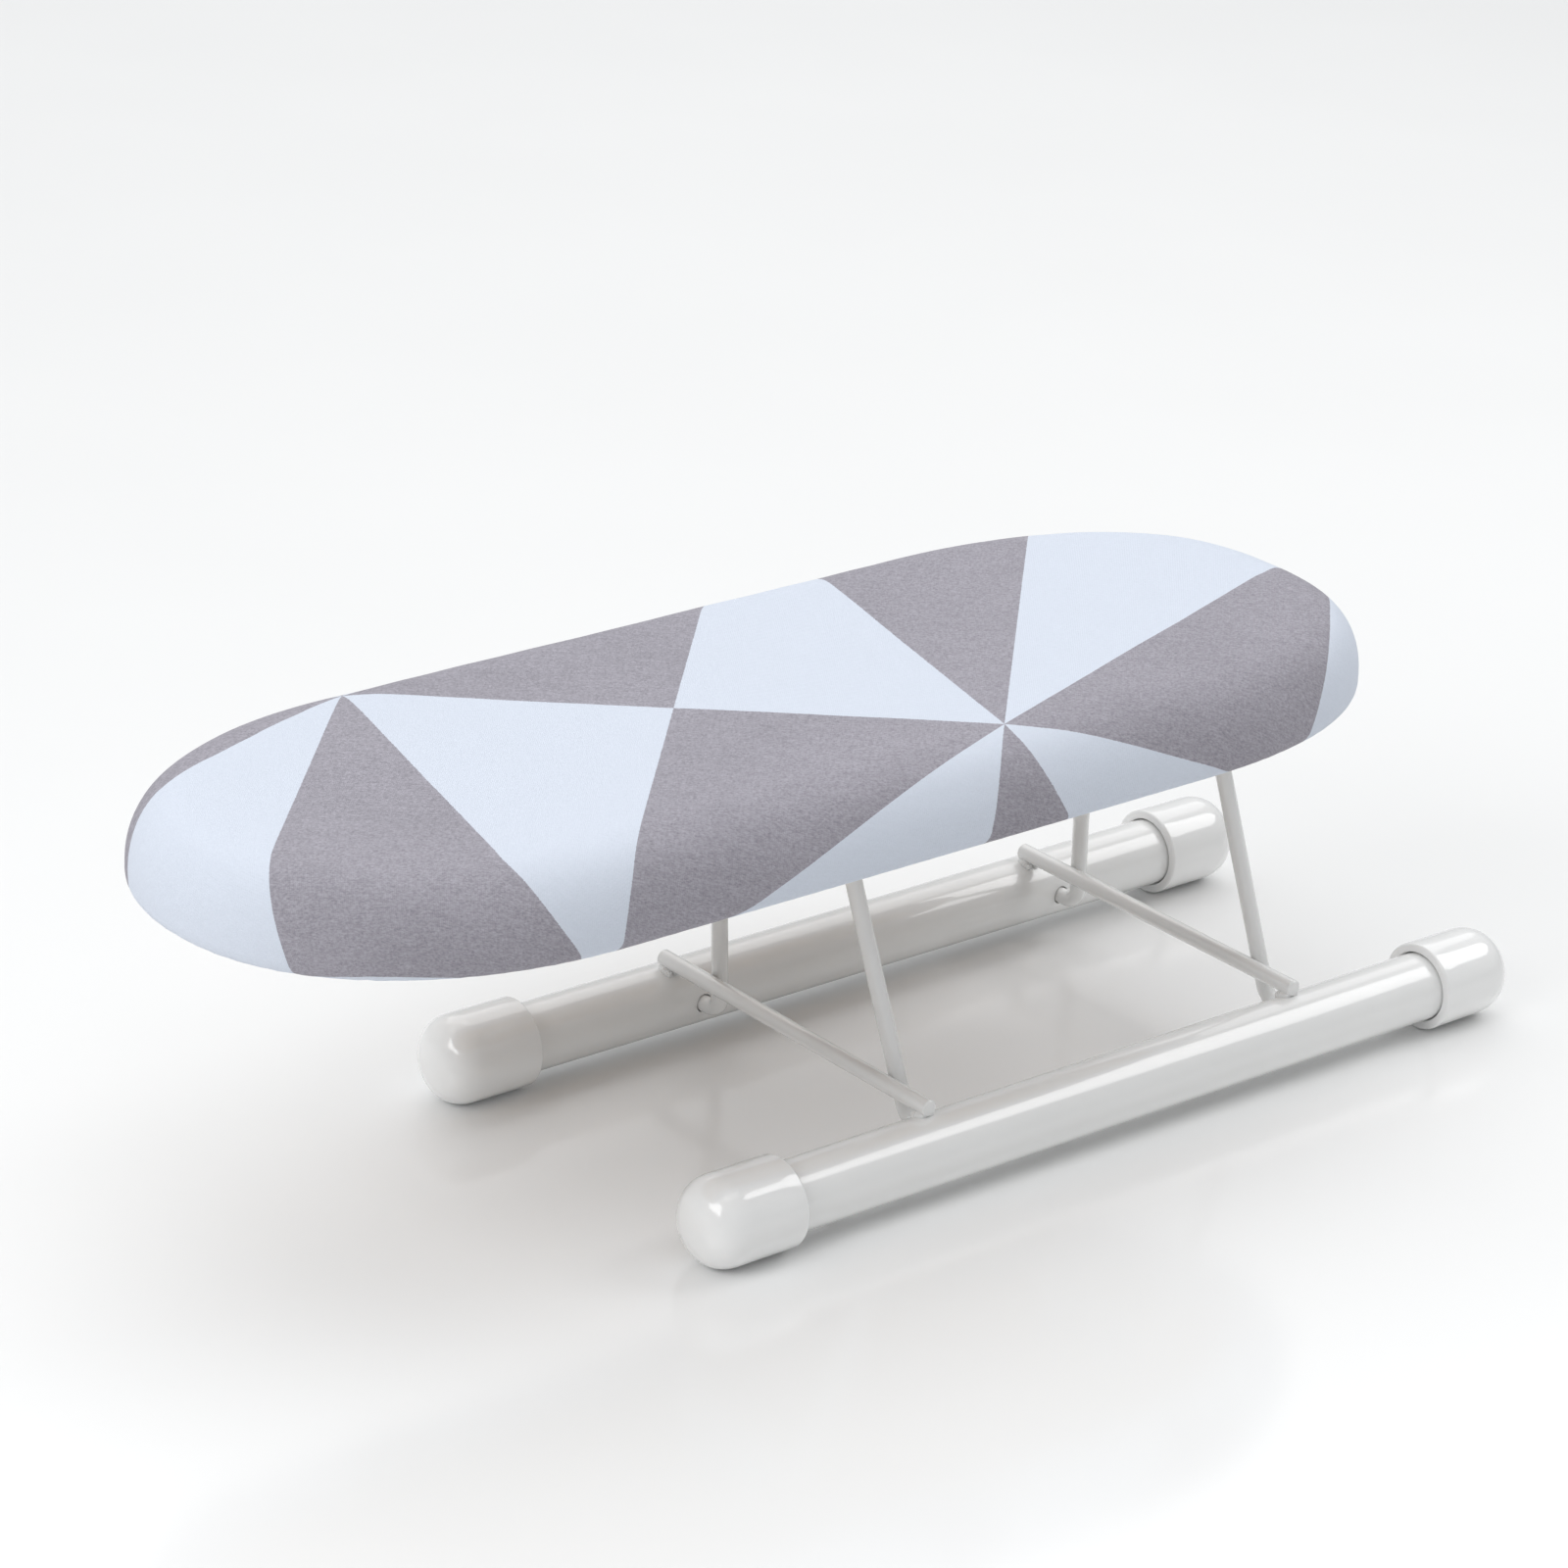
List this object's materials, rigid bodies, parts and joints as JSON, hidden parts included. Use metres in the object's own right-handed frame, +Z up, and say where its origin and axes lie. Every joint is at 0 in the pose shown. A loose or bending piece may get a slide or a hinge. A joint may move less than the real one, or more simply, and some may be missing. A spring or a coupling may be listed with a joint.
{
  "type": "ironing board",
  "caption": "Small tabletop ironing board with a padded cloth cover, folding bent-wire leg frames and a sledge base of capped tubes.",
  "frame": {"origin": "on the table under the middle of the whole object's box, board standing level", "axes": "+Z up; +X along the board from its free, sleeve end towards the end over the base; +Y from the front tube to the rear tube"},
  "size_m": [0.5288, 0.1764, 0.1629],
  "materials": {
    "tube_paint": "gloss white powder coat",
    "wire_paint": "gloss white powder coat",
    "cap_plastic": "gloss white moulded plastic",
    "cover_print": "plain-weave cotton printed with grey and pale blue triangles",
    "foam": "open-cell foam",
    "panel_board": "plain fibreboard",
    "elastic": "woven elastic",
    "zinc_steel": "zinc plated"
  },
  "bodies": {
    "base": {"skid_tube_front": "tube_paint", "skid_tube_rear": "tube_paint", "end_cap_front_left": "cap_plastic", "end_cap_front_right": "cap_plastic", "end_cap_rear_left": "cap_plastic", "end_cap_rear_right": "cap_plastic", "cross_rod_left": "wire_paint", "cross_rod_right": "wire_paint"},
    "left_leg": {"leg_frame_left": "wire_paint"},
    "right_leg": {"leg_frame_right": "wire_paint"},
    "board": {"board_panel": "panel_board", "foam_pad": "foam", "fabric_cover": "cover_print", "hem_elastic": "elastic", "saddle_left_front": "zinc_steel", "saddle_left_rear": "zinc_steel", "saddle_right_front": "zinc_steel", "saddle_right_rear": "zinc_steel", "screw_left_front_left": "zinc_steel", "screw_left_front_right": "zinc_steel", "screw_left_rear_left": "zinc_steel", "screw_left_rear_right": "zinc_steel", "screw_right_front_left": "zinc_steel", "screw_right_front_right": "zinc_steel", "screw_right_rear_left": "zinc_steel", "screw_right_rear_right": "zinc_steel"}
  },
  "joints": [
    {"name": "fold", "type": "hinge", "parent": "base", "child": "left_leg", "pos_m": [0.00184, 0, 0.01615], "axis": [0, 1, 0], "range_deg": [0, 93]},
    {"name": "right_leg_foot", "type": "hinge", "parent": "base", "child": "right_leg", "pos_m": [0.17284, 0, 0.01615], "axis": [0, 1, 0], "range_deg": [0, 93]},
    {"name": "board_saddle", "type": "hinge", "parent": "left_leg", "child": "board", "pos_m": [-0.02071, 0, 0.127], "axis": [0, 1, 0], "range_deg": [-93, 0]}
  ],
  "couplings": [
    {"joint": "right_leg_foot", "follows": "fold", "ratio": 1},
    {"joint": "board_saddle", "follows": "fold", "ratio": -1}
  ]
}
